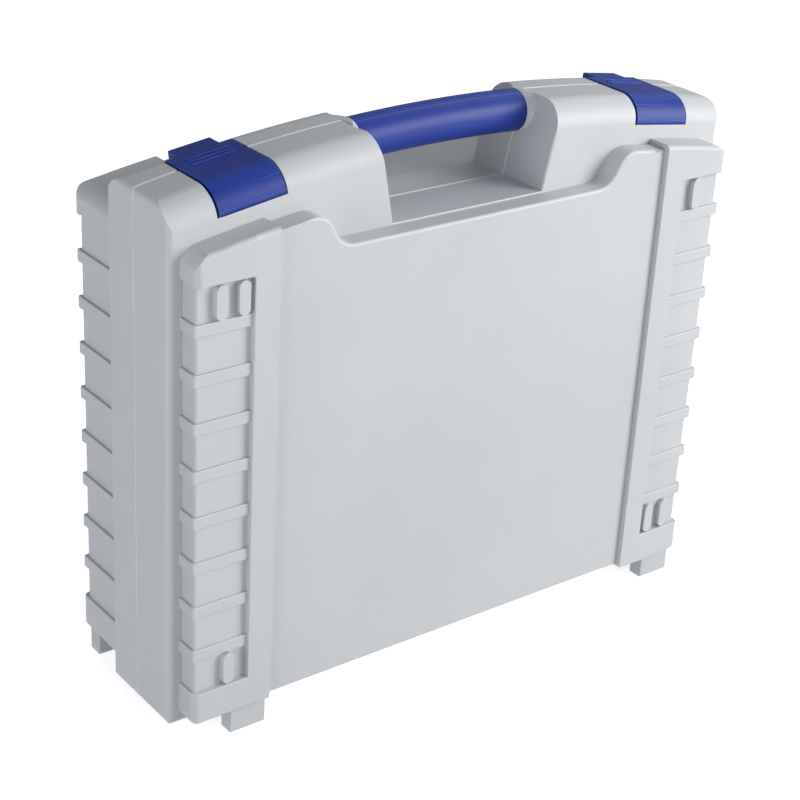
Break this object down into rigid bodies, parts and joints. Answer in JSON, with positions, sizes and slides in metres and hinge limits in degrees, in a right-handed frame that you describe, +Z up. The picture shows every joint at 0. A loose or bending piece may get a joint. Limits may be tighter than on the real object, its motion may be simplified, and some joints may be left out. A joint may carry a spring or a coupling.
{
  "type": "hard tool case",
  "caption": "Upright hard-shell tool case with ribbed corner columns, stacking lugs, an arched top with a split carrying grip, snap latches and pin hinges along the bottom.",
  "frame": {"origin": "centre of the bounding box at floor level, under the feet", "axes": "+X to the case's right as seen from the lid's side, +Y from the lid to the base, +Z up with the grip on top"},
  "size_m": [0.4, 0.132, 0.349],
  "materials": {
    "shell_plastic": "fine moulded grain",
    "foot_plastic": "fine moulded grain",
    "accent_plastic": "satin",
    "pin_steel": "drawn wire",
    "seal": "matte"
  },
  "bodies": {
    "base": {"base_shell": "shell_plastic", "rim_seal": "seal", "top_seal": "seal", "handle_bar_base": "shell_plastic", "grip_cover_rear": "accent_plastic", "catch_lip_left": "shell_plastic", "catch_lip_right": "shell_plastic", "hinge_base_left": "shell_plastic", "hinge_base_right": "shell_plastic", "hinge_pin_left": "pin_steel", "hinge_pin_right": "pin_steel", "foot_rear_left": "foot_plastic", "foot_rear_right": "foot_plastic"},
    "lid": {"lid_shell": "shell_plastic", "handle_bar_lid": "shell_plastic", "grip_cover_front": "accent_plastic", "hinge_lid_left": "shell_plastic", "hinge_lid_right": "shell_plastic", "foot_front_left": "foot_plastic", "foot_front_right": "foot_plastic", "latch_pin_left": "pin_steel", "latch_pin_right": "pin_steel"},
    "latch_left": {"latch_left": "accent_plastic"},
    "latch_right": {"latch_right": "accent_plastic"}
  },
  "joints": [
    {"name": "lid_hinge", "type": "hinge", "parent": "base", "child": "lid", "pos_m": [0, -0.012, 0.0052], "axis": [1, 0, 0], "range_deg": [0, 110]},
    {"name": "latch_left_pivot", "type": "hinge", "parent": "lid", "child": "latch_left", "pos_m": [-0.14746, -0.043, 0.32761], "axis": [0.9901, 0, 0.1403], "range_deg": [0, 85]},
    {"name": "latch_right_pivot", "type": "hinge", "parent": "lid", "child": "latch_right", "pos_m": [0.14746, -0.043, 0.32761], "axis": [0.9901, 0, -0.1403], "range_deg": [0, 85]}
  ]
}
